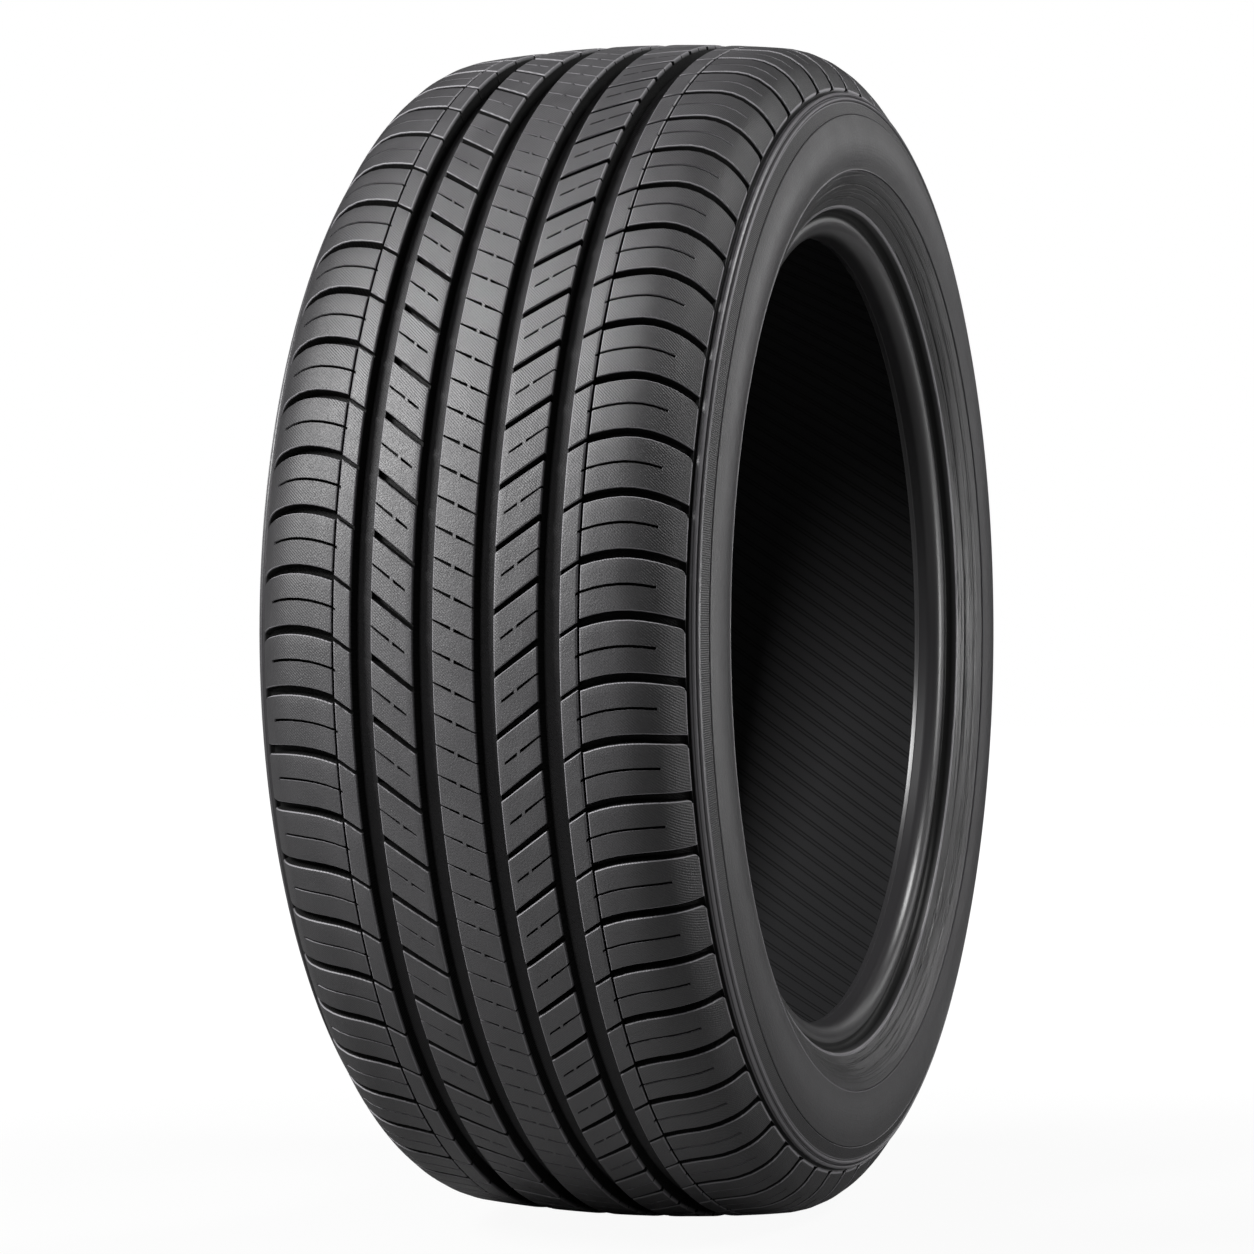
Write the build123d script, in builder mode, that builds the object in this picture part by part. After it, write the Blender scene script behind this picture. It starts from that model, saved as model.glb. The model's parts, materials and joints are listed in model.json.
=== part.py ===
"""A passenger car tyre: one moulding, made of equal tread pitches set round the axle.

The frame's origin is the wheel centre. The axle runs along Y, Z is up, and the
tyre stands on its tread. Lengths are millimetres and angles are degrees.
"""

from build123d import *
from math import cos, radians, sin, sqrt, tan
import os

# Overall size
outer_diameter = 652.0
section_width = 246.5
bead_bore_diameter = 435.0

# Crown and shoulder
crown_arc_radius = 760.0
tread_flat_width = 164.0
tread_edge_width = 219.0
tread_edge_drop = 22.5
buttress_height = 9.0
buttress_lean = 26.0
shoulder_flats = 2

# Ribs and grooves that run round the tyre, counted outward from its middle
centre_rib_width = 21.0
inner_groove_width = 11.2
side_rib_width = 22.0
outer_groove_width = 11.8
groove_depth = 8.0
groove_draft = 8.0

# Pattern of one pitch, with its turns about the axle taken from the pitch's middle
pitch_count = 66
shoulder_groove_place = 65.0
shoulder_groove_width = 3.8
shoulder_groove_depth = 6.5
shoulder_groove_runout = 2.5
shoulder_groove_turn = -1.86
rib_slot_width = 2.6
rib_slot_depth = 6.5
rib_slot_lean = 36.5
rib_slot_turn = 0.29
far_side_turn = -1.25

# Sidewall
widest_height = 44.0
sidewall_flats = 3
rim_line_height = 15.0
rim_line_place = 108.0

# Bead
bead_spread = 176.0
bead_width = 16.0
bead_land = 11.0
toe_height = 2.0
heel_step = 0.8
heel_height = 6.0

# Walls between the outside and the liner
crown_thickness = 16.5
shoulder_thickness = 20.0
sidewall_thickness = 9.0
liner_flats = 2

outer_radius = outer_diameter / 2
half_width = section_width / 2
bore_radius = bead_bore_diameter / 2
toe = bead_spread / 2
heel = toe + bead_width
pitch_angle = 360 / pitch_count
draft_offset = groove_depth * tan(radians(groove_draft))
clear = 20.0

# Edges of the ribs along the axle
centre_rib_edge = centre_rib_width / 2
side_rib_inner = centre_rib_edge + inner_groove_width
side_rib_outer = side_rib_inner + side_rib_width
shoulder_edge = side_rib_outer + outer_groove_width
side_rib_middle = (side_rib_inner + side_rib_outer) / 2


def crown(place, depth=0.0):
    """Point of the half section at a place along the axle, below the crown by depth."""
    height = sqrt(crown_arc_radius**2 - place**2)
    return (place, outer_radius - crown_arc_radius + height - depth)


def flats(curve, count):
    """Points that share a curve out into equal flats."""
    return [curve @ (step / count) for step in range(count + 1)]


# Corners of the half section, as (place along the axle, distance from the axle)
flat_edge = crown(tread_flat_width / 2)
tread_edge = (tread_edge_width / 2, outer_radius - tread_edge_drop)
buttress_foot = (
    tread_edge[0] + buttress_height * tan(radians(buttress_lean)),
    tread_edge[1] - buttress_height,
)
widest = (half_width, bore_radius + widest_height)
rim_line = (rim_line_place, bore_radius + rim_line_height)
heel_base = (toe + bead_land, bore_radius + heel_step)
liner_crown = outer_radius - crown_thickness
liner_shoulder = (tread_edge[0] - shoulder_thickness, liner_crown)
liner_widest = (half_width - sidewall_thickness, widest[1])
liner_toe = (toe, bore_radius + toe_height)

with BuildLine():
    shoulder_curve = TangentArc(flat_edge, tread_edge, tangent=(1, 0))
    wall_curve = ThreePointArc(buttress_foot, widest, rim_line)
    liner_curve = ThreePointArc(liner_toe, liner_widest, liner_shoulder)

# The section of every pitch, with stock left in the bore
with BuildSketch() as section:
    with BuildLine():
        Polyline(
            (0, outer_radius),
            (centre_rib_edge, outer_radius),
            crown(centre_rib_edge + draft_offset, groove_depth),
            crown(side_rib_inner - draft_offset, groove_depth),
            crown(side_rib_inner),
            crown(side_rib_outer),
            crown(side_rib_outer + draft_offset, groove_depth),
            crown(shoulder_edge - draft_offset, groove_depth),
            crown(shoulder_edge),
            *flats(shoulder_curve, shoulder_flats),
            *flats(wall_curve, sidewall_flats),
            (heel, heel_base[1] + heel_height),
            heel_base,
            (heel_base[0], bore_radius - clear),
            (toe, bore_radius - clear),
            *flats(liner_curve, liner_flats),
            (0, liner_crown),
            close=True,
        )
    make_face()
    mirror(about=Plane.YZ)

# The cutter of a shoulder groove, whose floor turns down to run out on the buttress
runout = (
    buttress_foot[0] - shoulder_groove_runout * tan(radians(buttress_lean)),
    buttress_foot[1] + shoulder_groove_runout,
)
with BuildPart() as shoulder_groove:
    with BuildSketch(Plane.YZ.offset(-shoulder_groove_width / 2)):
        with BuildLine():
            Polyline(
                crown(shoulder_groove_place, shoulder_groove_depth),
                crown(tread_flat_width / 2, shoulder_groove_depth),
                runout,
                (runout[0] + clear, runout[1]),
                (runout[0] + clear, outer_radius + clear),
                (shoulder_groove_place, outer_radius + clear),
                close=True,
            )
        make_face()
    extrude(amount=shoulder_groove_width)

# The cutter of a slanted slot, a vee from one groove to the next across a side rib
lean = radians(rib_slot_lean)
slot_length = (side_rib_width + inner_groove_width) / cos(lean)
slot_place, slot_floor = crown(side_rib_middle, rib_slot_depth)
slot_plane = Plane(
    origin=(0, slot_place, slot_floor),
    x_dir=(-cos(lean), sin(lean), 0),
    z_dir=(sin(lean), cos(lean), 0),
)
vee_height = rib_slot_depth + clear
vee_half_width = rib_slot_width / 2 * vee_height / rib_slot_depth
with BuildPart() as rib_slot:
    with BuildSketch(slot_plane.offset(-slot_length / 2)):
        with BuildLine():
            Polyline(
                (0, 0),
                (vee_half_width, vee_height),
                (-vee_half_width, vee_height),
                close=True,
            )
        make_face()
    extrude(amount=slot_length)

# One side's pattern, with the pitches before and after it
neighbours = [step * pitch_angle for step in (-1, 0, 1)]
with BuildPart() as side_pattern:
    with Locations([Rotation(0, turn + shoulder_groove_turn, 0) for turn in neighbours]):
        add(shoulder_groove.part)
    with Locations([Rotation(0, turn + rib_slot_turn, 0) for turn in neighbours]):
        add(rib_slot.part)

# One pitch: a flat-faced segment cut to its angle, then given the pattern of both sides
half_chord = outer_radius * tan(radians(pitch_angle / 2))
with BuildPart() as pitch:
    with BuildSketch(Plane.YZ.offset(-half_chord)):
        add(section.sketch)
    extrude(amount=2 * half_chord)
    with BuildSketch(Plane.XZ.offset(-section_width)):
        with BuildLine():
            Polyline((0, 0), (half_chord, outer_radius), (-half_chord, outer_radius), close=True)
        make_face()
    extrude(amount=2 * section_width, mode=Mode.INTERSECT)
    add(mirror(side_pattern.part, about=Plane.XZ, mode=Mode.PRIVATE), mode=Mode.SUBTRACT)
    with Locations(Rotation(0, far_side_turn, 0)):
        add(side_pattern.part, mode=Mode.SUBTRACT)

# The tyre: every pitch round the axle, bored through both beads for the rim
with BuildPart() as tyre:
    with Locations([Rotation(0, step * pitch_angle, 0) for step in range(pitch_count)]):
        add(pitch.part)
    with BuildSketch(Plane.XZ.offset(-section_width)):
        Circle(bore_radius)
    extrude(amount=2 * section_width, mode=Mode.SUBTRACT)

os.makedirs("parts", exist_ok=True)
tyre.part.label = "tyre"
export_step(tyre.part, "parts/tyre.step")
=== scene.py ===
"""A car tyre that stands on its tread, off its rim, as one moulding of rubber.

One tread pitch is drawn as rings of points, from the middle of the tread out over
a shoulder, down the sidewall, round the bead and back along the liner. Geometry
Nodes set that pitch round the axle, and the result is one closed mesh.
"""

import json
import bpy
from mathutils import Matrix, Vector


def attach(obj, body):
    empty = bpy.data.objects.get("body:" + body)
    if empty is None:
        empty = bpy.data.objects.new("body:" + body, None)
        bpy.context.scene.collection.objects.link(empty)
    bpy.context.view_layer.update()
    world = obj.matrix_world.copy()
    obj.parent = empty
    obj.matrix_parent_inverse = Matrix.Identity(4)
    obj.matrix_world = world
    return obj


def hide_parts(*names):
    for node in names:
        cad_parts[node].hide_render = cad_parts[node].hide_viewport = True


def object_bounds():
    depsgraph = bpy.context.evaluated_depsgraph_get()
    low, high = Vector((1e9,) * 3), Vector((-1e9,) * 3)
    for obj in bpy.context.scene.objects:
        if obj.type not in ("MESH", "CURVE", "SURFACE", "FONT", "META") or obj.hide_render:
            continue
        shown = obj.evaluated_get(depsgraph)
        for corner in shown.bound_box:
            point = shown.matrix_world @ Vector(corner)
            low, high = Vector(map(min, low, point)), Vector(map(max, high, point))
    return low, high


bl_info = {
    "name": "Car Tyre",
    "version": (1, 0, 0),
    "blender": (4, 5, 0),
    "location": "3D View > Sidebar > Tyre",
    "description": "Builds a road tyre from one tread pitch, and the stage that it stands on",
    "category": "Object",
}

from math import copysign, cos, inf, pi, radians, sin, sqrt, tan

import bmesh
import bpy
from bpy.props import FloatProperty, FloatVectorProperty, IntProperty, PointerProperty
from mathutils import Vector

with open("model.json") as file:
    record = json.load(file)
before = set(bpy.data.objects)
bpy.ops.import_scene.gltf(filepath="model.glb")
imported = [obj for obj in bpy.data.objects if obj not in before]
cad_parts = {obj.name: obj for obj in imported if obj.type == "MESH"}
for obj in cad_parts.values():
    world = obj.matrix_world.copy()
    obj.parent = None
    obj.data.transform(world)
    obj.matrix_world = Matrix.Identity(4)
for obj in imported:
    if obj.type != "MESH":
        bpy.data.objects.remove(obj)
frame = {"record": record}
CAD_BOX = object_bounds()
RIM_SEAT = frame["record"]["mounts"][0]["dims"]

MM = 0.001
LEAST = 1e-6  # a step that is too small to see, in metres
BEYOND = 1.0  # a place past the tyre's side
WELD = 0.02 * MM  # points this close become one
SHARP = radians(50)  # edges that turn by more than this stay sharp
NEAR, FAR = -1, 1  # the side that the photo shows, and the other
TREAD, WALL, RIBBED, BEAD, LINER = range(5)  # zones of the mesh, with a material each
HIGHLIGHT_DEPTH, LIT_FLOOR_DEPTH, SHADE_DEPTH = 0.5 * MM, 0.94 * MM, 1.0 * MM  # shade depths: edges with full painted highlight, groove floors with painted shade a little lighter as if lit, gaps with full painted shade

# Cuts in the tread. A taper gives a cut's width at its two ends, as shares of its set width.
BAND_START = -0.25  # a band's start line, in pitches from its first cut
SLOT_FLOOR, SLIT_FLOOR = 0.72, 0.85  # width of a cut's floor, as a share of its mouth
CENTRE_SIPE_TAPER = 1.3, 0.7
SIDE_SIPE_TAPER = 1.2, 0.8
SLOT_TAPER = 1.0, 1.25
SHADE_START = 0.3  # share of a long groove's depth where the painted shade on its wall is full
FOOT_CORNER = 1.2 * MM  # width of the painted-shade corner at the foot of a long groove's wall, before the floor's lighter painted shade

# Shoulder blocks
ARCH_LEVEL = 2 / 3  # share of a block groove's arch that lies above its set place
RUNOUT_START, RUNOUT_DEPTH = 0.7, 0.45  # where a block groove gets shallow, and how shallow
SIPE_LEAD, SIPE_STOP = 0.5, 3.0  # a block sipe's ends, in sipe insets
RING_CUT_FLOOR = 0.25  # width of the ring cut's floor, as a share of its mouth
BLOCK_STEPS, BUTTRESS_STEPS = 6, 4
CORNER_PARTS = 0.4, 0.75, 1.0  # rings over a block's rounded corner

# Sidewall, bead and liner
RING_ROOM = 0.4  # mm of the half width that are left to raised rings
WALL_STEPS = 3  # faces to a pitch in each ring of a wall
HEEL_STEPS, LINER_STEPS = 7, 10
LINER_REST = 2 * MM  # the liner's start over the bead's base, and its drop at a shoulder
LINER_PARTS = 0.85, 0.6, 0.25  # rings under the tread, as shares of the toe's reach

# Where painted shade and painted highlights change, as places or radii in metres: painted shade on
# the shoulders, a fainter painted highlight at the far outer edge, and darker, scored rubber near
# the rim
SHOULDER_FADE = 0.062, 0.1
FAR_EDGE_FADE = 0.104, 0.112
RIM_FADE = 0.256, 0.244
FAR_HIGHLIGHT, PIT_SHEEN, SHOULDER_SHEEN = 0.2, 0.1, 0.4  # what is left of the painted edge highlight at the far outer edge, and of the sheen in painted-shade gaps and on the shoulders

# Name, place, target, size and watts of each light
LIGHTS = (
    ("key", (-1.85, 1.75, 1.7), (0, 0, 0.05), (1.1, 1.1), 139),
    ("front", (-2.7, 0.6, 1.2), (-0.2, 0, 0), (0.7, 0.7), 6),
    ("left", (-1.5, 1.75, 0.3), (0, 0.1, 0.1), (0.5, 0.5), 3),
    ("top", (0.5, -1.95, 1.95), (0, -0.1, 0.25), (0.7, 0.7), 46),
    ("side", (0.7, -2.5, 0.0), (0, -0.1, -0.05), (0.5, 0.8), 21),
    ("rear", (2.1, -1.0, 0.9), (0, -0.1, 0.25), (0.9, 0.9), 2.4),
    ("wall", (1.8, -1.55, 0.45), (0.1, -0.1, -0.2), (0.6, 0.6), 3.2),
    ("low", (1.5, -1.8, -0.2), (0.1, -0.1, 0.1), (1.2, 0.2), 2),
)


def length(name, description, default):
    """A length in metres, from a default in millimetres."""
    return FloatProperty(name=name, description=description, default=default * MM, min=0.0,
                         unit='LENGTH', precision=4)


def angle(name, description, default):
    """An angle, from a default in degrees."""
    return FloatProperty(name=name, description=description, default=radians(default),
                         subtype='ANGLE')


def share(name, description, default):
    """A plain number from 0 to 1."""
    return FloatProperty(name=name, description=description, default=default, min=0.0, max=1.0,
                         subtype='FACTOR')


def colour(name, description, default):
    """A linear colour."""
    return FloatVectorProperty(name=name, description=description, default=default, size=3,
                               min=0.0, max=1.0, subtype='COLOR')


class TyreSection(bpy.types.PropertyGroup):
    """Sizes of the tyre's outline, from the tread to the bead"""
    outer_radius: length("Outer radius", "Wheel centre to the middle of the tread",
                         CAD_BOX[1].z / MM)
    half_width: length("Half width", "Middle of the tyre to the widest point of a sidewall",
                       CAD_BOX[1].y / MM - RING_ROOM)
    bore_radius: length("Bore radius", "Wheel centre to the base of a bead", RIM_SEAT["r_mm"])
    crown_arc: length("Crown arc", "Radius of the tread's arc across the tyre", 760)
    tread_flat: length("Tread flat", "Middle of the tyre to the start of a shoulder", 82)
    tread_edge: length("Tread edge", "Middle of the tyre to the foot of a shoulder", 109.5)
    tread_drop: length("Tread drop", "How far a shoulder's foot lies below the tread", 22.5)
    block_end: length("Block end", "Middle of the tyre to the end of the shoulder blocks", 112.4)
    block_height: length("Block height", "Bead base to the end of the shoulder blocks", 80.6)
    widest_height: length("Widest height", "Bead base to the widest point of a wall", 44)
    rim_line: length("Rim line", "Middle of the tyre to the ridge above a bead", 108)
    rim_line_height: length("Rim line height", "Bead base to the ridge above a bead", 15)
    bead_roll: length("Bead roll", "Radius of the bead's rounded heel", 9)
    bead_reach: length("Bead reach", "Middle of the tyre to the face of a bead", 104.5)
    toe_reach: length("Toe reach", "Middle of the tyre to the toe of a bead", 88)
    crown_wall: length("Crown wall", "Thickness between the tread and the liner", 16.5)
    side_wall: length("Side wall", "Thickness of a sidewall at its widest point", 12)


class TreadPattern(bpy.types.PropertyGroup):
    """Sizes and places of the ribs, grooves and cuts in one pitch"""
    pitches: IntProperty(name="Pitches", description="Equal pitches round the tyre", default=66,
                         min=12, max=120)
    centre_rib: length("Centre rib", "Middle of the tyre to the edge of its middle rib", 10.5)
    side_rib_inner: length("Side rib, inner", "Middle of the tyre to a side rib", 21.7)
    side_rib_outer: length("Side rib, outer", "Middle of the tyre to a side rib's far edge", 43.7)
    shoulder: length("Shoulder", "Middle of the tyre to the shoulder's inner edge", 55.5)
    groove_depth: length("Groove depth", "Depth of the four grooves that run round", 8)
    groove_draft: angle("Groove draft", "Lean of the walls of those grooves", 8)
    bevel: length("Bevel", "Worn round of the edges of ribs and blocks", 0.6)
    ring_cut: length("Ring cut", "Middle of the tyre to the thin cut round each shoulder", 65)
    ring_cut_width: length("Ring cut width", "Width of the thin cut round each shoulder", 1.2)
    block_groove_width: length("Block groove width", "Width between two shoulder blocks", 4.6)
    block_groove_depth: length("Block groove depth", "Depth between two shoulder blocks", 6.5)
    block_groove_turn: angle("Block groove turn", "Place of a near block groove", 0.87)
    corner: length("Block corner", "Round of a block's upper outer corner", 2.2)
    block_arch: length("Block arch", "Rise of a block groove at its middle", 4.4)
    link_width: length("Link width", "Width of the slit that leads a block groove inward", 2.3)
    link_drop: length("Link drop", "How far that slit drops to the shoulder's inner edge", 6.2)
    sipe_width: length("Sipe width", "Width of the thin cuts in ribs and blocks", 1.5)
    sipe_depth: length("Sipe depth", "Depth of the thin cuts in ribs and blocks", 4.5)
    sipe_gap: length("Sipe gap", "Bridge between the two parts of a broken sipe", 1.6)
    sipe_inset: length("Sipe inset", "How far a sipe stops short of a rib's or block's edge", 3.5)
    slot_width: length("Slot width", "Width of a side rib's slots", 3.2)
    slot_depth: length("Slot depth", "Depth of a side rib's slots", 6.5)
    slot_lean: angle("Slot lean", "Lean of a side rib's slots and sipes", 36.5)
    slot_turn: angle("Slot turn", "Place of a near side rib's slots", 3.017)
    centre_lean: angle("Centre lean", "Lean of the middle rib's sipes", 25)
    centre_turn: angle("Centre turn", "Place of the middle rib's sipes", 0.13)
    far_turn: angle("Far side turn", "Turn of the far half of the pattern", -1.25)


class RubberLook(bpy.types.PropertyGroup):
    """Colours and finish of the rubber"""
    tread: colour("Tread", "Rubber of the tread", (0.056, 0.0545, 0.058))
    # Painted shade: the colour that deep gaps and the shoulders are darkened towards; the sidewall
    # near the rim is darkened towards it too.
    groove: colour("Groove", "Rubber deep in grooves and gaps", (0.010, 0.010, 0.010))
    wall: colour("Sidewall", "Rubber of the sidewalls and beads", (0.032, 0.031, 0.033))
    liner: colour("Liner", "Rubber of the liner", (0.0122, 0.0122, 0.013))
    liner_line: colour("Liner line", "Fine lines across the liner", (0.003, 0.003, 0.003))
    tread_roughness: share("Tread roughness", "Roughness of the tread", 0.5)
    wall_roughness: share("Sidewall roughness", "Roughness of the sidewalls", 0.38)
    liner_roughness: share("Liner roughness", "Roughness of the liner", 0.75)
    hatch: IntProperty(name="Hatch", description="Lines of the tread's faint hatch, all round",
                       default=1280, min=1)
    ribs: IntProperty(name="Fine ribs", description="Fine ribs round the band below the blocks",
                      default=1584, min=1)
    liner_lines: IntProperty(name="Liner lines", description="Pairs of lines round the liner",
                             default=185, min=1)
    liner_lean: FloatProperty(name="Liner lean", description="Rise of the liner's lines per metre",
                              default=2.2)


class StageLook(bpy.types.PropertyGroup):
    """Camera, light and floor"""
    azimuth: angle("Azimuth", "Camera's turn about the tyre", -71.55)
    elevation: angle("Elevation", "Camera's height over the tyre's centre, as an angle", 0.03)
    distance: FloatProperty(name="Distance", description="Camera to the tyre's centre",
                            default=2.5045, unit='LENGTH')
    lens: FloatProperty(name="Lens", description="Focal length in millimetres", default=127.96)
    shift_x: FloatProperty(name="Shift X", description="Camera's shift to the right",
                           default=-0.0272)
    shift_y: FloatProperty(name="Shift Y", description="Camera's shift upward", default=0.0029)
    floor_colour: colour("Floor", "Colour of the floor", (0.25, 0.25, 0.25))


def circle_through(a, b, c):
    """The middle and radius of the circle through three points."""
    ab, ac = b - a, c - a
    twice = 2 * (ab.x * ac.y - ab.y * ac.x)
    across = Vector((ac.y * ab.length_squared - ab.y * ac.length_squared,
                     ab.x * ac.length_squared - ac.x * ab.length_squared)) / twice
    return a + across, across.length


def ramp(value, low, low_value, high, high_value):
    """Runs from one value to another between two places, and stays level outside them."""
    part = min(max((value - low) / (high - low), 0.0), 1.0)
    return low_value + (high_value - low_value) * part


def spread(start, end, steps):
    """Places in equal steps from a start to an end."""
    return [start + (end - start) * step / steps for step in range(steps + 1)]


def fixed(value):
    """A size that is the same at every place."""
    return lambda place: value


def tapered(width, taper, start, end, middle=0.0):
    """A width that changes between two distances from a middle line."""
    return lambda place: width * ramp(abs(place - middle), start, taper[0], end, taper[1])


def turned(line, extra):
    """The same line, turned about the axle."""
    return lambda place: line(place) + extra


class Section:
    """One side of the tyre's outline, in a plane through the axle, as (place, radius) points."""

    def __init__(self, sizes):
        self.sizes = sizes
        flat = sizes.tread_flat
        self.crown_middle = Vector((0, sizes.outer_radius - sizes.crown_arc))
        start = Vector((flat, self.crown_middle.y + sqrt(sizes.crown_arc ** 2 - flat ** 2)))
        self.foot = Vector((sizes.tread_edge, sizes.outer_radius - sizes.tread_drop))
        self.end = Vector((sizes.block_end, sizes.bore_radius + sizes.block_height))
        inward = (self.crown_middle - start).normalized()
        chord = self.foot - start
        self.shoulder_arc = chord.length_squared / (2 * chord.dot(inward))
        self.shoulder_middle = start + self.shoulder_arc * inward
        self.wall_middle, self.wall_arc = circle_through(
            self.end,
            Vector((sizes.half_width, sizes.bore_radius + sizes.widest_height)),
            Vector((sizes.rim_line, sizes.bore_radius + sizes.rim_line_height)))

    def tread(self, place, depth=0.0):
        """A point on the tread, or that far below it."""
        if place <= self.sizes.tread_flat:
            middle, arc = self.crown_middle, self.sizes.crown_arc
        else:
            middle, arc = self.shoulder_middle, self.shoulder_arc
        if place <= self.sizes.tread_edge:
            point = Vector((place, middle.y + sqrt(arc ** 2 - (place - middle.x) ** 2)))
        else:
            run = self.end - self.foot
            point = self.foot + run * (place - self.foot.x) / run.x
            middle = point + Vector((run.y, -run.x))
        return point + (middle - point).normalized() * depth

    def wall(self, radius, rise=0.0):
        """A point on the sidewall at that radius, or that far out from it."""
        across = sqrt(self.wall_arc ** 2 - (radius - self.wall_middle.y) ** 2)
        point = Vector((self.wall_middle.x + across, radius))
        return point + (point - self.wall_middle).normalized() * rise


class Cut:
    """A cut across a band: a slot with bevelled edges, or a thin slit."""

    def __init__(self, turn, width, depth, spans, bevel=0.0):
        self.turn, self.width, self.depth = turn, width, depth
        self.spans, self.bevel = spans, bevel

    def open_at(self, place):
        """Whether the cut is open at a place across the tyre."""
        return any(start < place < end for start, end in self.spans)

    def columns(self, place, state_place, radius):
        """The cut's (turn, depth) pairs at a place, open or closed as at another place."""
        depth = self.depth(place) if self.open_at(state_place) else 0.0
        half = self.width(place) / 2
        if self.bevel:
            bevel, floor = min(self.bevel, depth), half * SLOT_FLOOR
            pairs = [(-half - self.bevel, 0.0), (-half, bevel), (-floor, depth),
                     (floor, depth), (half, bevel), (half + self.bevel, 0.0)]
        else:
            floor = half * SLIT_FLOOR
            pairs = [(-half, 0.0), (-floor, depth), (floor, depth), (half, 0.0)]
        return [(self.turn(place) + offset / radius, drop) for offset, drop in pairs]


class Pitch:
    """Rings of points over one pitch, and the faces between them."""

    def __init__(self, count):
        self.angle = 2 * pi / count
        self.points, self.depths, self.faces, self.zones = [], [], [], []

    def ring(self, side, points):
        """Adds a ring of (turn, place, radius, shade depth) points, and returns (index, turn)
        pairs.
        """
        first = len(self.points)
        for turn, place, radius, depth in points:
            self.points.append((-radius * cos(turn), side * place, radius * sin(turn)))
            # The shade depth sets painted shade and highlights: a true depth in the tread, a set
            # value in grooves, walls and beads.
            self.depths.append(depth)
        return [(first + i, point[0]) for i, point in enumerate(points)]

    def plain_ring(self, side, point, depth, steps, start):
        """A ring with no cuts, in equal steps."""
        return self.ring(side, [(start + self.angle * i / steps, point.x, point.y, depth)
                                for i in range(steps + 1)])

    def join(self, side, inner, outer, zone=TREAD):
        """Fills between two rings with quads, or with triangles where they differ."""
        if len(inner) == len(outer):
            for i in range(len(inner) - 1):
                self.face(side, [inner[i], outer[i], outer[i + 1], inner[i + 1]], zone)
            return
        i = j = 0
        while i + 1 < len(inner) or j + 1 < len(outer):
            inner_next = inner[i + 1][1] - inner[0][1] if i + 1 < len(inner) else inf
            outer_next = outer[j + 1][1] - outer[0][1] if j + 1 < len(outer) else inf
            if inner_next <= outer_next:
                self.face(side, [inner[i], outer[j], inner[i + 1]], zone)
                i += 1
            else:
                self.face(side, [inner[i], outer[j], outer[j + 1]], zone)
                j += 1

    def join_all(self, side, rings, zone=TREAD):
        """Joins rings in order and returns the last."""
        for inner, outer in zip(rings, rings[1:]):
            self.join(side, inner, outer, zone)
        return rings[-1]

    def face(self, side, corners, zone):
        """Adds a face that points out of the rubber."""
        indices = [index for index, turn in corners]
        self.faces.append(indices if side == NEAR else indices[::-1])
        self.zones.append(zone)


class Band:
    """A rib or a row of blocks: a start line, and the cuts across it in order."""

    def __init__(self, pitch, section, line, cuts):
        self.pitch, self.section, self.cuts = pitch, section, cuts
        self.start = line(BAND_START)

    def ring(self, side, place, state_place=None, floor=0.0, draft=0.0):
        """One ring across the band. Nothing in it is shallower than the floor."""
        state_place = place if state_place is None else state_place
        radius = self.section.tread(abs(place)).y
        columns = [(self.start(place), 0.0)]
        for cut in self.cuts:
            columns += cut.columns(place, state_place, radius)
        columns.append((self.start(place) + self.pitch.angle, 0.0))
        points = []
        for turn, depth in columns:
            depth = max(depth, floor)
            point = self.section.tread(abs(place), depth)
            offset = copysign(point.x, place) + draft * (depth - floor)
            points.append((turn, offset, point.y, depth))
        return self.pitch.ring(side, points)

    def rings(self, side, places):
        """Rings at those places, with two where a cut starts or ends, to close its end."""
        rings = []
        for place in places:
            before = [cut.open_at(place - LEAST) for cut in self.cuts]
            after = [cut.open_at(place + LEAST) for cut in self.cuts]
            rings.append(self.ring(side, place, place - LEAST))
            if before != after:
                rings.append(self.ring(side, place, place + LEAST))
        return rings

    def turn_towards(self, place, turn):
        """Turns the band by whole pitches, so that it starts as near as it can to a turn."""
        extra = round((turn - self.start(place)) / self.pitch.angle) * self.pitch.angle
        self.start = turned(self.start, extra)
        for cut in self.cuts:
            cut.turn = turned(cut.turn, extra)


def centre_band(pitch, section, tread):
    """The middle rib, with two broken sipes in each pitch. Its places run from near to far."""
    def line(steps):
        return lambda place: (tread.centre_turn + steps * pitch.angle
                              + place * tan(tread.centre_lean) / section.sizes.outer_radius)
    gap = tread.sipe_gap / 2
    width = tapered(tread.sipe_width, CENTRE_SIPE_TAPER, gap, tread.centre_rib)
    spans = [(-BEYOND, -gap), (gap, BEYOND)]
    cuts = [Cut(line(steps), width, fixed(tread.sipe_depth), spans) for steps in (0.0, 0.5)]
    return Band(pitch, section, line, cuts)


def side_band(pitch, section, tread, turn):
    """A side rib, with one slot and one broken sipe in each pitch."""
    inner, outer = tread.side_rib_inner, tread.side_rib_outer
    middle, gap = (inner + outer) / 2, tread.sipe_gap / 2

    def line(steps):
        return lambda place: (tread.slot_turn + turn + steps * pitch.angle
                              + (place - middle) * tan(tread.slot_lean) / section.tread(place).y)
    slot = Cut(line(0), tapered(tread.slot_width, SLOT_TAPER, inner, outer),
               fixed(tread.slot_depth), [(0, BEYOND)], tread.bevel)
    sipe = Cut(line(0.5), tapered(tread.sipe_width, SIDE_SIPE_TAPER, gap, outer - middle, middle),
               fixed(tread.sipe_depth),
               [(inner + tread.sipe_inset, middle - gap), (middle + gap, BEYOND)])
    return Band(pitch, section, line, [slot, sipe])


def block_sipe_span(section, tread):
    """Where the sipe in a shoulder block starts and ends."""
    return (tread.ring_cut - SIPE_LEAD * tread.sipe_inset,
            section.sizes.block_end - SIPE_STOP * tread.sipe_inset)


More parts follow.
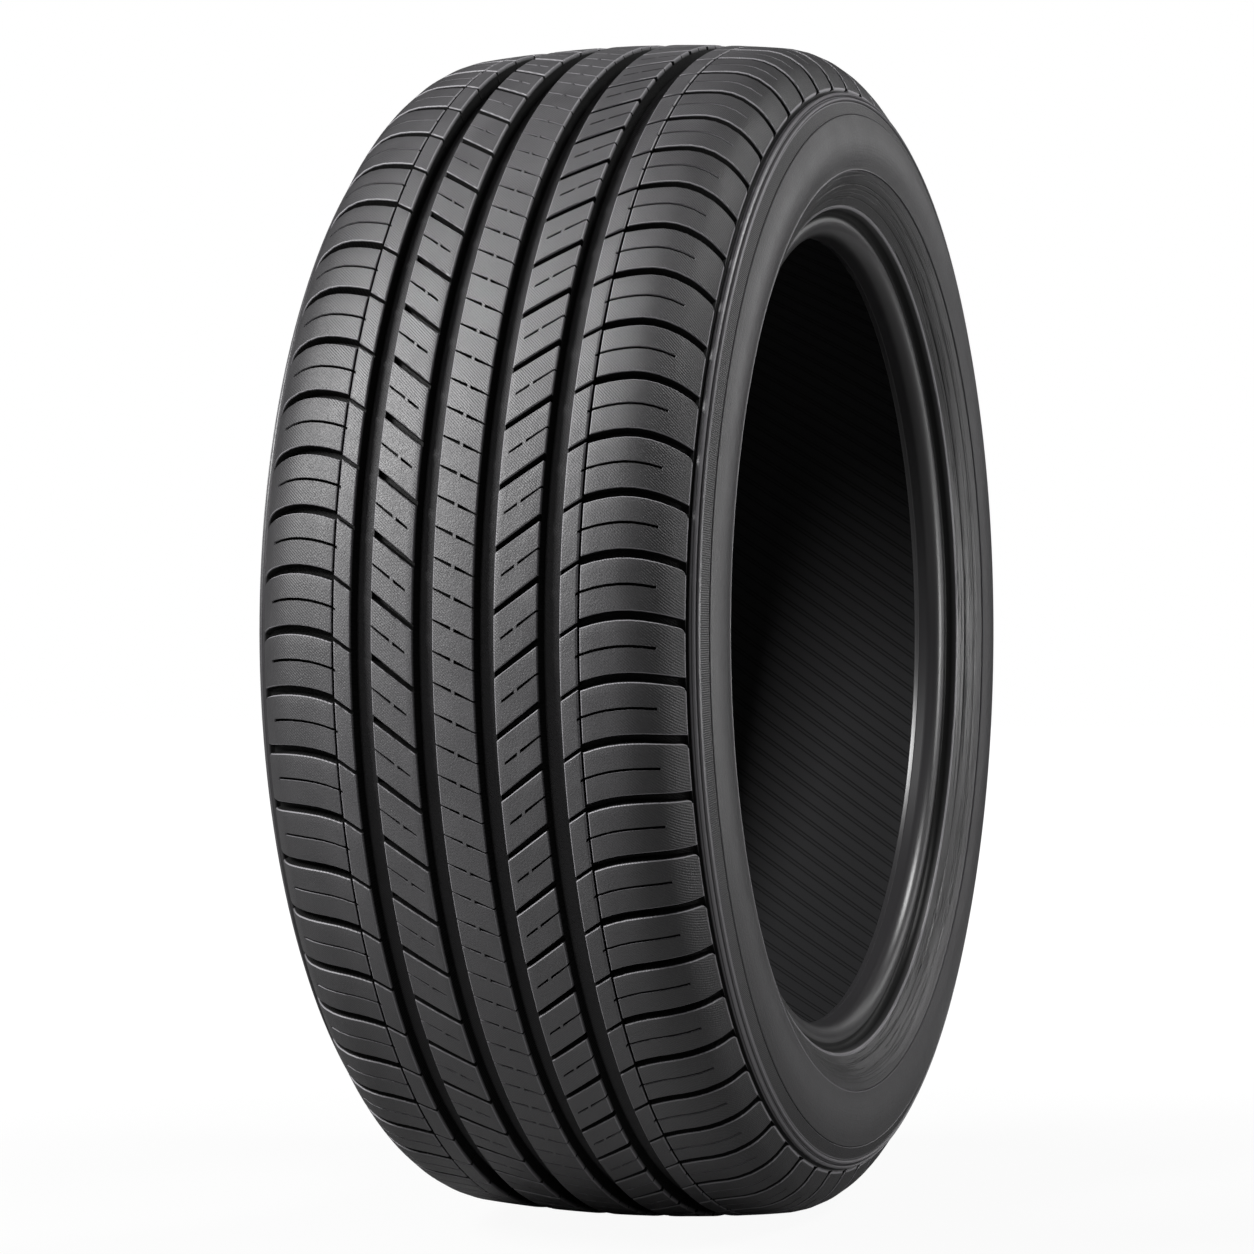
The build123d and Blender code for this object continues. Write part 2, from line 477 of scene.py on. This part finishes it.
def shoulder_band(pitch, section, tread, turn):
    """The shoulder: a strip inside the ring cut, and blocks outside it."""
    cut, end = tread.ring_cut, section.sizes.block_end
    middle, reach = (cut + end) / 2, (end - cut) / 2

    def line(steps):
        def at(place):
            bow = ARCH_LEVEL - ((max(place, cut) - middle) / reach) ** 2
            drop = ramp(place, tread.shoulder, tread.link_drop, cut, 0.0)
            return (tread.block_groove_turn + turn + steps * pitch.angle
                    + (tread.block_arch * bow - drop) / section.tread(place).y)
        return at

    def flare(place):
        part = ramp(place, end - tread.corner, 0.0, end, 1.0)
        return tread.corner * (1 - sqrt(1 - part ** 2))

    def groove_turn(place):
        return line(0)(place) - flare(place) / 2 / section.tread(place).y

    def groove_width(place):
        return tread.link_width if place < cut else tread.block_groove_width + flare(place)

    def groove_depth(place):
        runout = cut + (end - cut) * RUNOUT_START
        return tread.block_groove_depth * ramp(place, runout, 1.0, end, RUNOUT_DEPTH)
    groove = Cut(groove_turn, groove_width, groove_depth, [(0, BEYOND)], tread.bevel)
    sipe = Cut(line(0.5), fixed(tread.sipe_width), fixed(tread.sipe_depth),
               [block_sipe_span(section, tread)])
    return Band(pitch, section, line, [groove, sipe])


def draw_pitch(section, tread):
    """Draws one pitch of the tyre, all the way round its section."""
    pitch = Pitch(tread.pitches)
    draft = tan(tread.groove_draft)
    band = centre_band(pitch, section, tread)
    edge, bevel, gap = tread.centre_rib, tread.bevel, tread.sipe_gap / 2
    near_edge = band.ring(FAR, -edge, None, bevel, -draft)
    far_edge = band.ring(FAR, edge, None, bevel, draft)
    inside = band.rings(FAR, [bevel - edge, -gap, gap, edge - bevel])
    pitch.join_all(FAR, [near_edge, *inside, far_edge])
    liner_ends = []
    for side, edge_ring, turn in ((NEAR, near_edge, 0.0), (FAR, far_edge, tread.far_turn)):
        block_ends = draw_half_tread(pitch, section, tread, side, turn, edge_ring)
        liner_ends.append(draw_wall(pitch, section, side, block_ends))
    near_end, far_end = liner_ends
    pitch.join(FAR, far_end, near_end, LINER)
    return pitch


def draw_half_tread(pitch, section, tread, side, turn, edge_ring):
    """One half of the tread, from the middle rib's edge to the end of the blocks."""
    bevel, gap = tread.bevel, tread.sipe_gap / 2
    rib = side_band(pitch, section, tread, turn)
    inner, outer = tread.side_rib_inner, tread.side_rib_outer
    middle = (inner + outer) / 2
    edge_ring = cross_groove(section, tread, side, edge_ring, tread.centre_rib, rib, inner)
    places = [inner + bevel, inner + tread.sipe_inset, middle - gap, middle + gap, outer - bevel]
    far_edge = rib.ring(side, outer, None, bevel, tan(tread.groove_draft))
    pitch.join_all(side, [edge_ring, *rib.rings(side, places), far_edge])

    blocks = shoulder_band(pitch, section, tread, turn)
    edge_ring = cross_groove(section, tread, side, far_edge, outer, blocks, tread.shoulder)
    cut, half = tread.ring_cut, tread.ring_cut_width / 2
    sipe_start, sipe_end = block_sipe_span(section, tread)
    end = section.sizes.block_end
    corner = end - tread.corner
    strip = [tread.shoulder + bevel, sipe_start, cut - half - bevel]
    floor = [(cut - half, bevel), (cut - half * RING_CUT_FLOOR, tread.sipe_depth),
             (cut + half * RING_CUT_FLOOR, tread.sipe_depth), (cut + half, bevel)]
    block = spread(cut + half + bevel, sipe_end, BLOCK_STEPS)
    block += spread(sipe_end, corner, BUTTRESS_STEPS)[1:]
    block += [corner + (tread.corner - bevel) * part for part in CORNER_PARTS]
    return pitch.join_all(side, [
        edge_ring, *blocks.rings(side, strip),
        *[blocks.ring(side, place, None, depth) for place, depth in floor],
        *blocks.rings(side, block), blocks.ring(side, end, None, bevel)])


def cross_groove(section, tread, side, edge_ring, edge, band, band_edge):
    """Goes down a groove's wall, across its floor and up to the next band's edge."""
    pitch = band.pitch
    draft = tan(tread.groove_draft)
    band.turn_towards(band_edge, edge_ring[0][1])
    band_ring = band.ring(side, band_edge, None, tread.bevel, -draft)

    def line(ring, place, lean, part, shade):
        depth = tread.groove_depth * part
        point = section.tread(place, depth)
        offset = place + lean * depth
        return pitch.ring(side, [(turn, offset, point.y, shade) for index, turn in ring])

    # Painted shade: each wall is fully shaded from a share of its depth down, and the floor past
    # the foot corner is painted a little lighter, as if lit.
    def foot(ring, place, lean):
        corner = copysign(FOOT_CORNER, lean)
        return [line(ring, place, lean, SHADE_START, SHADE_DEPTH), line(ring, place, lean, 1.0, SHADE_DEPTH),
                line(ring, place + corner, lean, 1.0, LIT_FLOOR_DEPTH)]
    pitch.join_all(side, [edge_ring, *foot(edge_ring, edge, draft),
                          *reversed(foot(band_ring, band_edge, -draft)), band_ring])
    return band_ring


def wall_rings(section):
    """Sidewall rings under the blocks, as (distance below the block ends, rise, shade) in mm."""
    # light is the shade depth of a painted highlight on ridges and lines, dark that of painted
    # shade in the gutter, grooves and lines
    light, dark = HIGHLIGHT_DEPTH / MM, SHADE_DEPTH / MM
    gutter = [(0.5, -1.4, dark), (1.8, -1.4, dark), (2.2, 0.4, 0)]
    ridges = []
    for start, height in ((2.9, 1.2), (5.6, 1.1)):
        ridges += [(start, height, light), (start + 0.8, height, light),
                   (start + 1.2, -0.1, dark), (start + 2.0, 0, 0)]
    ribbed_end = [(13.4, -0.1, 0)]
    thin_groove = [(13.7, -0.5, dark), (14.1, -0.5, dark), (14.4, 0, 0)]
    bulge = [(14.4 + 5 * step, 0, 0) for step in range(1, 6)]
    wall_line = [(43.7, 0, 0), (44.1, 0.4, light), (44.6, -0.7, dark), (45.1, 0, 0)]
    fine_lines = []
    for line in (52.0, 59.0):
        fine_lines += [(line - 3, 0, 0), (line - 0.4, 0, 0), (line, -0.4, 0), (line + 0.4, 0, 0)]
    rim_line = [(62.8, 0, 0), (63.6, 0.8, light), (64.4, 0.8, light)]
    zones = ((WALL, gutter + ridges), (RIBBED, ribbed_end),
             (WALL, thin_groove + bulge + wall_line + fine_lines + rim_line))
    return [(section.wall(section.end.y - drop * MM, rise * MM), shade * MM, zone)
            for zone, rings in zones for drop, rise, shade in rings]


def bead_rings(section):
    """The gap under the rim line, the rolled heel, the base and the toe."""
    sizes = section.sizes
    base, roll, face, toe = sizes.bore_radius, sizes.bead_roll, sizes.bead_reach, sizes.toe_reach
    # In mm out from the bead's face or its toe, and up from its base
    gap = [(2.6, 14.6), (0.5, 13.4), (-0.5, 12.0), (-0.4, 10.6)]
    foot = [(3.4, 0.0), (3.0, -0.2), (2.6, 0.0), (0.8, 0.0), (0.2, 0.3), (0.0, 0.9)]
    heel = [Vector((face - roll + roll * cos(turn), base + roll - roll * sin(turn)))
            for turn in spread(0, pi / 2, HEEL_STEPS)]
    gap, foot = [[Vector((start + out * MM, base + up * MM)) for out, up in points]
                 for start, points in ((face, gap), (toe, foot))]
    # The gap under the rim line gets painted shade; the heel, base and toe none.
    return [(point, SHADE_DEPTH, BEAD) for point in gap] + [(point, 0.0, BEAD) for point in heel + foot]


def liner_rings(section):
    """The inner skin, from a bead's toe to near the middle of the tyre."""
    sizes = section.sizes
    crown = sizes.outer_radius - sizes.crown_wall
    toe = Vector((sizes.toe_reach, sizes.bore_radius + LINER_REST))
    widest = Vector((sizes.half_width - sizes.side_wall, sizes.bore_radius + sizes.widest_height))
    shoulder = Vector((sizes.toe_reach, crown - LINER_REST))
    middle = circle_through(toe, widest, shoulder)[0]
    start = toe - middle
    sweep = start.angle_signed(shoulder - middle)
    points = []
    for turn in spread(0, -sweep, LINER_STEPS):
        points.append(middle + Vector((start.x * cos(turn) - start.y * sin(turn),
                                       start.x * sin(turn) + start.y * cos(turn))))
    points += [Vector((sizes.toe_reach * part, crown)) for part in LINER_PARTS]
    return [(point, 0.0, LINER) for point in points]


def draw_wall(pitch, section, side, block_ends):
    """One sidewall and bead, and its side of the liner. Returns the liner's last ring."""
    last, start = block_ends, block_ends[0][1]
    for point, depth, zone in wall_rings(section) + bead_rings(section) + liner_rings(section):
        ring = pitch.plain_ring(side, point, depth, WALL_STEPS, start)
        pitch.join(side, last, ring, zone)
        last = ring
    return last


def pitch_object(pitch):
    """The pitch as an object, with each face's zone and each point's shade depth, for painted
    shade and highlights, as attributes.
    """
    mesh = bpy.data.meshes.new("tyre_pitch")
    mesh.from_pydata(pitch.points, [], pitch.faces)
    mesh.attributes.new("zone", 'INT', 'FACE').data.foreach_set("value", pitch.zones)
    # The "depth" attribute holds the shade depths that the materials turn into painted highlights
    # and painted shade.
    mesh.attributes.new("depth", 'FLOAT', 'POINT').data.foreach_set("value", pitch.depths)
    piece = bpy.data.objects.new("tyre_pitch", mesh)
    bpy.context.scene.collection.objects.link(piece)
    return piece


def add_node(tree, kind, inputs=None, **settings):
    """Adds a node, sets it, and sets or links its inputs by name or number."""
    node = tree.nodes.new(kind)
    for name, value in settings.items():
        setattr(node, name, value)
    for key, value in (inputs or {}).items():
        if isinstance(value, bpy.types.NodeSocket):
            tree.links.new(value, node.inputs[key])
        else:
            node.inputs[key].default_value = value
    return node


def calculate(tree, operation, *values):
    """A Math node's result, from numbers and sockets."""
    return add_node(tree, "ShaderNodeMath", dict(enumerate(values)),
                    operation=operation).outputs[0]


def round_tree(materials):
    """Geometry Nodes that set one pitch round the axle, weld it and paint its zones."""
    tree = bpy.data.node_groups.new("Tyre Round", 'GeometryNodeTree')
    for name, kind in (("Pitch", "Geometry"), ("Pitches", "Int"), ("Weld Distance", "Float")):
        tree.interface.new_socket(name, in_out='INPUT', socket_type="NodeSocket" + kind)
    tree.interface.new_socket("Tyre", in_out='OUTPUT', socket_type="NodeSocketGeometry")
    source = add_node(tree, "NodeGroupInput").outputs
    points = add_node(tree, "GeometryNodePoints", {"Count": source["Pitches"]})
    step = calculate(tree, 'DIVIDE', 2 * pi, source["Pitches"])
    index = add_node(tree, "GeometryNodeInputIndex").outputs["Index"]
    turn = add_node(tree, "ShaderNodeCombineXYZ", {"Y": calculate(tree, 'MULTIPLY', index, step)})
    copies = add_node(tree, "GeometryNodeInstanceOnPoints",
                      {"Points": points.outputs[0], "Instance": source["Pitch"],
                       "Rotation": turn.outputs[0]})
    real = add_node(tree, "GeometryNodeRealizeInstances", {"Geometry": copies.outputs[0]})
    weld = add_node(tree, "GeometryNodeMergeByDistance",
                    {"Geometry": real.outputs[0], "Distance": source["Weld Distance"]})
    zone = add_node(tree, "GeometryNodeInputNamedAttribute", {"Name": "zone"}, data_type='INT')
    painted = weld.outputs[0]
    for number, material in enumerate(materials):
        same = add_node(tree, "FunctionNodeCompare", data_type='INT', operation='EQUAL')
        left, right = [socket for socket in same.inputs if socket.type == 'INT']
        tree.links.new(zone.outputs["Attribute"], left)
        right.default_value = number
        painted = add_node(tree, "GeometryNodeSetMaterial",
                           {"Geometry": painted, "Selection": same.outputs["Result"],
                            "Material": material}).outputs[0]
    add_node(tree, "NodeGroupOutput", {"Tyre": painted})
    return tree


def plain_mesh(piece):
    """The piece's evaluated mesh."""
    depsgraph = bpy.context.evaluated_depsgraph_get()
    return bpy.data.meshes.new_from_object(piece.evaluated_get(depsgraph), depsgraph=depsgraph)


def set_round(pitch_piece, materials, pitches):
    """Turns a pitch into the whole tyre, as a plain mesh."""
    tree = round_tree(materials)
    modifier = pitch_piece.modifiers.new("round", 'NODES')
    modifier.node_group = tree
    values = {"Pitches": pitches, "Weld Distance": WELD}
    for socket in tree.interface.items_tree:
        if socket.name in values:
            modifier[socket.identifier] = values[socket.name]
    tyre = bpy.data.objects.new("tyre_moulding", plain_mesh(pitch_piece))
    bpy.data.objects.remove(pitch_piece)
    bpy.context.scene.collection.objects.link(tyre)
    return tyre


def open_edges(mesh):
    """How many edges of a mesh don't join two faces."""
    faces = bmesh.new()
    faces.from_mesh(mesh)
    count = sum(not edge.is_manifold for edge in faces.edges)
    faces.free()
    return count


def smooth(piece):
    """Smooth shading that keeps broad faces flat and rounds their bevels."""
    piece.data.shade_smooth()
    piece.data.set_sharp_from_angle(angle=SHARP)
    weights = piece.modifiers.new("weights", 'WEIGHTED_NORMAL')
    weights.keep_sharp = True
    mesh = plain_mesh(piece)
    piece.modifiers.remove(weights)
    piece.data = mesh


class Finish:
    """A rubber material in the making, on the tyre's own coordinates."""

    def __init__(self, name, base, roughness, specular=0.5):
        self.material = bpy.data.materials.new(name)
        self.material.use_nodes = True
        self.tree = self.material.node_tree
        self.shader = self.tree.nodes["Principled BSDF"].inputs
        self.shader["Base Color"].default_value = (*base, 1)
        self.shader["Roughness"].default_value = roughness
        self.shader["Specular IOR Level"].default_value = specular
        self.base, self.normal = base, None
        self.where = add_node(self.tree, "ShaderNodeTexCoord").outputs["Object"]
        split = add_node(self.tree, "ShaderNodeSeparateXYZ", {0: self.where}).outputs
        self.x, self.place, self.z = split
        self.radius = self.math('SQRT', self.math('ADD', self.math('MULTIPLY', self.x, self.x),
                                                  self.math('MULTIPLY', self.z, self.z)))
        self.turn = self.math('ARCTAN2', self.z, self.x)

    def math(self, operation, *values):
        """A Math node's result, from numbers and sockets."""
        return calculate(self.tree, operation, *values)

    def fade(self, value, low, high):
        """Runs from 0 to 1 between two values."""
        return add_node(self.tree, "ShaderNodeMapRange",
                        {"Value": value, "From Min": low, "From Max": high}).outputs[0]

    def lessen(self, factor, least):
        """Runs from 1 down to a least value as a factor rises."""
        return self.math('MULTIPLY_ADD', factor, least - 1, 1.0)

    def noise(self, scale, detail, where=None):
        """A cloud of values about a half."""
        return add_node(self.tree, "ShaderNodeTexNoise",
                        {"Vector": where or self.where, "Scale": scale, "Detail": detail,
                         "Roughness": 0.6}).outputs[0]

    def rings(self, scale, wander):
        """Streaks that run round the axle, and wander a little."""
        along = self.math('MULTIPLY', self.radius, scale)
        side, up = [self.math('MULTIPLY', self.math('DIVIDE', part, self.radius), wander)
                    for part in (self.x, self.z)]
        where = add_node(self.tree, "ShaderNodeCombineXYZ", {0: along, 1: side, 2: up}).outputs[0]
        return self.noise(scale=1.0, detail=2, where=where)

    def bump(self, height, depth, strength):
        """Raises the surface by a height from 0 to 1, times a depth."""
        inputs = {"Height": height, "Distance": depth, "Strength": strength}
        if self.normal:
            inputs["Normal"] = self.normal
        self.normal = add_node(self.tree, "ShaderNodeBump", inputs).outputs[0]
        self.tree.links.new(self.normal, self.shader["Normal"])

    def vary(self, cloud, low, high):
        """Runs the roughness between two values, over the middle of a cloud's range."""
        value = add_node(self.tree, "ShaderNodeMapRange",
                         {"Value": cloud, "From Min": 0.3, "From Max": 0.7, "To Min": low,
                          "To Max": high}).outputs[0]
        self.tree.links.new(value, self.shader["Roughness"])

    def mix(self, factor, low, high):
        """A colour between two colours, each a colour or a socket."""
        mix = add_node(self.tree, "ShaderNodeMix", {0: factor}, data_type='RGBA')
        colours = [socket for socket in mix.inputs if socket.type == 'RGBA']
        for socket, value in zip(colours, (low, high)):
            if isinstance(value, bpy.types.NodeSocket):
                self.tree.links.new(value, socket)
            else:
                socket.default_value = (*value, 1)
        return [socket for socket in mix.outputs if socket.type == 'RGBA'][0]

    def tint(self, factor, low, high):
        """Mixes the base colour from two colours, each a colour or a socket."""
        self.base = self.mix(factor, low, high)
        self.tree.links.new(self.base, self.shader["Base Color"])

    def paint_highlights_and_shade(self, edge, shade_colour, sheen=None):
        """Paints a highlight on bevelled edges, fainter at the far outer edge, and paints shade in
        deep gaps, where it also dulls the sheen.

        The edge colour is the painted highlight, the shade colour the painted shade, and the sheen
        a socket for how much the rubber shines where it isn't deep.
        """
        depth = add_node(self.tree, "ShaderNodeAttribute", attribute_name="depth").outputs["Fac"]
        # Painted highlight on the edges, fainter at the far outer edge
        far = self.lessen(self.fade(self.place, *FAR_EDGE_FADE), FAR_HIGHLIGHT)
        rim = self.math('MULTIPLY', self.fade(depth, HIGHLIGHT_DEPTH / 6, HIGHLIGHT_DEPTH / 2), far)
        # Painted shade in deep gaps, which also dulls the sheen there
        deep = self.fade(depth, HIGHLIGHT_DEPTH, SHADE_DEPTH)
        self.tint(deep, self.mix(rim, self.base, edge), shade_colour)
        level = self.shader["Specular IOR Level"]
        full = level.default_value if sheen is None else sheen
        self.tree.links.new(self.math('MULTIPLY', self.lessen(deep, PIT_SHEEN), full), level)


def scaled(base, *factors):
    """A colour made lighter or darker, once for each factor."""
    return [[min(part * factor, 1.0) for part in base] for factor in factors]


def tread_rubber(look):
    """Grained rubber with a faint slanting hatch, painted shade and less sheen on the shoulders,
    painted highlights on edges and painted shade in cuts.
    """
    finish = Finish("tread_rubber", look.tread, look.tread_roughness, specular=1.0)
    dark, light, edge_highlight = scaled(look.tread, 0.3, 1.7, 4.4)
    grain_share, cloud_share, shade, rough_range = 0.6, 0.4, 0.5, 0.06
    hatch_slant, hatch_height = 3900, 0.2
    cloud, grain = finish.noise(scale=40, detail=4), finish.noise(scale=1100, detail=3)
    finish.tint(finish.math('MULTIPLY_ADD', grain, grain_share,
                            finish.math('MULTIPLY', cloud, cloud_share)), dark, light)
    finish.vary(cloud, look.tread_roughness - rough_range, look.tread_roughness + rough_range)
    # Painted shade on the shoulders, which also dulls their sheen
    shoulder_shade = finish.fade(finish.math('ABSOLUTE', finish.place), *SHOULDER_FADE)
    finish.tint(finish.math('MULTIPLY', shoulder_shade, shade), finish.base, look.groove)
    # Painted highlights on bevelled edges, painted shade in cuts and grooves
    finish.paint_highlights_and_shade(edge_highlight, look.groove, finish.lessen(shoulder_shade, SHOULDER_SHEEN))
    round_part = finish.math('MULTIPLY', finish.turn, look.hatch)
    hatch = finish.math('SINE', finish.math('MULTIPLY_ADD', finish.place, hatch_slant, round_part))
    finish.bump(finish.math('MULTIPLY_ADD', hatch, hatch_height, grain),
                depth=0.3 * MM, strength=0.9)
    return finish.material


def wall_rubber(look):
    """Smoother rubber with faint rings from the mould, darker and scored near the rim, with
    painted highlights on ridges and painted shade in gutters and grooves.
    """
    finish = Finish("wall_rubber", look.wall, look.wall_roughness)
    dark, light, scored, edge_highlight = scaled(look.wall, 0.7, 1.3, 0.15, 5.0)
    score_start, score_full, shade = 0.45, 0.40, 0.4
    streak_height, score_height, rough_range = 0.2, -1.0, 0.05
    streaks, cloud = finish.rings(scale=1100, wander=4.0), finish.noise(scale=30, detail=4)
    near_rim = finish.fade(finish.radius, *RIM_FADE)
    lines = finish.fade(finish.rings(scale=900, wander=3.0), score_start, score_full)
    scores = finish.math('MULTIPLY', lines, near_rim)
    finish.tint(streaks, dark, light)
    finish.tint(finish.math('MULTIPLY', near_rim, shade), finish.base, look.groove)
    finish.tint(scores, finish.base, scored)
    finish.vary(cloud, look.wall_roughness - rough_range, look.wall_roughness + rough_range)
    # Painted highlights on ridges and lines, painted shade in the gutter and grooves
    finish.paint_highlights_and_shade(edge_highlight, look.groove)
    finish.bump(finish.math('MULTIPLY_ADD', scores, score_height,
                            finish.math('MULTIPLY', streaks, streak_height)),
                depth=0.5 * MM, strength=0.7)
    finish.bump(finish.noise(scale=900, detail=3), depth=0.2 * MM, strength=0.7)
    return finish.material


def ribbed_rubber(look):
    """The narrow band of fine ribs below the blocks."""
    base = scaled(look.wall, 0.8)[0]
    finish = Finish("ribbed_rubber", base, look.wall_roughness + 0.08)
    wave = finish.math('SINE', finish.math('MULTIPLY', finish.turn, look.ribs))
    finish.bump(finish.math('MULTIPLY_ADD', wave, 0.5, 0.5), depth=0.25 * MM, strength=0.8)
    return finish.material


def bead_rubber(look):
    """Close, smooth rubber of the bead."""
    base = scaled(look.wall, 0.7)[0]
    dark, light = scaled(base, 0.8, 1.2)
    finish = Finish("bead_rubber", base, look.wall_roughness, specular=0.6)
    streaks = finish.rings(scale=2200, wander=1.5)
    finish.tint(streaks, dark, light)
    # Painted shade in the gap under the rim line, with no edge highlight
    finish.paint_highlights_and_shade(base, look.groove)
    finish.vary(streaks, look.wall_roughness - 0.08, look.wall_roughness - 0.02)
    finish.bump(streaks, depth=0.04 * MM, strength=0.5)
    return finish.material


def liner_rubber(look):
    """Nearly black rubber with slanting pairs of fine lines."""
    finish = Finish("liner_rubber", look.liner, look.liner_roughness, specular=0.12)
    pair, line_half, line_end = (0.37, 0.61), 0.015, 0.06
    slant = finish.math('MULTIPLY', finish.place, look.liner_lean)
    count = finish.math('MULTIPLY', finish.math('SUBTRACT', finish.turn, slant),
                        look.liner_lines / (2 * pi))
    part = finish.math('FRACT', count)
    away = finish.math('MINIMUM', *[
        finish.math('ABSOLUTE', finish.math('SUBTRACT', part, line)) for line in pair])
    flat = finish.fade(away, line_half, line_end)
    finish.tint(flat, look.liner_line, look.liner)
    finish.bump(flat, depth=0.4 * MM, strength=0.6)
    return finish.material


class TYRE_OT_moulding(bpy.types.Operator):
    """Build the tyre's moulding from one tread pitch"""
    bl_idname = "tyre.moulding"
    bl_label = "Build Tyre"

    def execute(self, context):
        scene = context.scene
        look = scene.tyre_look
        pitch = draw_pitch(Section(scene.tyre_section), scene.tyre_tread)
        materials = [tread_rubber(look), wall_rubber(look), ribbed_rubber(look), bead_rubber(look),
                     liner_rubber(look)]
        tyre = set_round(pitch_object(pitch), materials, scene.tyre_tread.pitches)
        if open_edges(tyre.data):
            raise RuntimeError("The tyre's mesh isn't closed")
        smooth(tyre)
        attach(tyre, "root")
        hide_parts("tyre")
        return {'FINISHED'}


def soft_light(name, place, target, size, watts):
    """A soft light aimed at a point."""
    lamp = bpy.data.lights.new(name, 'AREA')
    lamp.shape = 'RECTANGLE'
    lamp.size, lamp.size_y = size
    lamp.energy = watts
    light = bpy.data.objects.new(name, lamp)
    light.location = place
    light.rotation_euler = (Vector(target) - Vector(place)).to_track_quat('-Z', 'Y').to_euler()
    bpy.context.scene.collection.objects.link(light)


def white_floor(stage, low):
    """A pale floor that reads as white and keeps a faint shadow."""
    reach, shadow_start, shadow_end, shadow_white = 12.0, 0.5, 1.6, 0.87
    mesh = bpy.data.meshes.new("floor")
    mesh.from_pydata([(-reach, -reach, low), (reach, -reach, low), (reach, reach, low),
                      (-reach, reach, low)], [], [(0, 1, 2, 3)])
    material = bpy.data.materials.new("floor_paint")
    material.use_nodes = True
    tree = material.node_tree
    shader = tree.nodes["Principled BSDF"]
    shader.inputs["Base Color"].default_value = (*stage.floor_colour, 1)
    shader.inputs["Roughness"].default_value = 0.9
    shader.inputs["Specular IOR Level"].default_value = 0.1
    seen = add_node(tree, "ShaderNodeLightPath").outputs["Is Camera Ray"]
    where = add_node(tree, "ShaderNodeTexCoord").outputs["Object"]
    away = add_node(tree, "ShaderNodeVectorMath", {0: where}, operation='LENGTH').outputs["Value"]
    white = add_node(tree, "ShaderNodeMapRange",
                     {"Value": away, "From Min": shadow_start, "From Max": shadow_end,
                      "To Min": shadow_white}).outputs[0]
    glow = add_node(tree, "ShaderNodeEmission", {"Color": (1, 1, 1, 1), "Strength": 1.08})
    mix = add_node(tree, "ShaderNodeMixShader",
                   {0: calculate(tree, 'MULTIPLY', seen, white), 1: shader.outputs[0],
                    2: glow.outputs[0]})
    tree.links.new(mix.outputs[0], tree.nodes["Material Output"].inputs["Surface"])
    mesh.materials.append(material)
    floor = bpy.data.objects.new("floor", mesh)
    bpy.context.scene.collection.objects.link(floor)


def studio_world(scene):
    """Plain light all round, and white where the camera looks past the tyre."""
    world = bpy.data.worlds.new("studio")
    scene.world = world
    world.use_nodes = True
    tree = world.node_tree
    light = tree.nodes["Background"]
    light.inputs["Color"].default_value = (1, 1, 1, 1)
    light.inputs["Strength"].default_value = 0.05
    white = add_node(tree, "ShaderNodeBackground", {"Color": (1, 1, 1, 1), "Strength": 1.0})
    seen = add_node(tree, "ShaderNodeLightPath").outputs["Is Camera Ray"]
    mix = add_node(tree, "ShaderNodeMixShader",
                   {0: seen, 1: light.outputs[0], 2: white.outputs[0]})
    tree.links.new(mix.outputs[0], tree.nodes["World Output"].inputs["Surface"])


def photo_camera(scene, stage):
    """A camera that sees the tyre as the photo does."""
    camera = bpy.data.cameras.new("camera")
    camera.lens = stage.lens
    camera.sensor_width = 36
    camera.shift_x, camera.shift_y = stage.shift_x, stage.shift_y
    view = bpy.data.objects.new("camera", camera)
    turn, lift = stage.azimuth, stage.elevation
    back = Vector((sin(turn) * cos(lift), -cos(turn) * cos(lift), sin(lift)))
    view.location = back * stage.distance
    view.rotation_euler = back.to_track_quat('Z', 'Y').to_euler()
    scene.collection.objects.link(view)
    scene.camera = view


class TYRE_OT_stage(bpy.types.Operator):
    """Set up the floor, the light and the camera"""
    bl_idname = "tyre.stage"
    bl_label = "Set Stage"

    def execute(self, context):
        scene = context.scene
        white_floor(scene.tyre_stage, CAD_BOX[0].z)
        studio_world(scene)
        for light in LIGHTS:
            soft_light(*light)
        photo_camera(scene, scene.tyre_stage)
        scene.view_settings.view_transform = 'Standard'
        return {'FINISHED'}


GROUPS = ("tyre_section", "tyre_tread", "tyre_look", "tyre_stage")


class TYRE_PT_panel(bpy.types.Panel):
    """Lists the tyre's sizes and the steps that build it"""
    bl_idname = "TYRE_PT_panel"
    bl_label = "Tyre"
    bl_space_type = 'VIEW_3D'
    bl_region_type = 'UI'
    bl_category = "Tyre"

    def draw(self, context):
        layout = self.layout
        for group in GROUPS:
            settings = getattr(context.scene, group)
            box = layout.box()
            for name in settings.bl_rna.properties.keys():
                if name not in {"rna_type", "name"}:
                    box.prop(settings, name)
        layout.operator(TYRE_OT_moulding.bl_idname)
        layout.operator(TYRE_OT_stage.bl_idname)


CLASSES = (TyreSection, TreadPattern, RubberLook, StageLook, TYRE_OT_moulding, TYRE_OT_stage,
           TYRE_PT_panel)


def register():
    for each in CLASSES:
        bpy.utils.register_class(each)
    bpy.types.Scene.tyre_section = PointerProperty(type=TyreSection)
    bpy.types.Scene.tyre_tread = PointerProperty(type=TreadPattern)
    bpy.types.Scene.tyre_look = PointerProperty(type=RubberLook)
    bpy.types.Scene.tyre_stage = PointerProperty(type=StageLook)


def unregister():
    for name in reversed(GROUPS):
        delattr(bpy.types.Scene, name)
    for each in reversed(CLASSES):
        bpy.utils.unregister_class(each)


def main():
    """Builds the tyre and its stage."""
    register()
    bpy.ops.tyre.moulding()
    bpy.ops.tyre.stage()


if __name__ == "__main__":
    main()
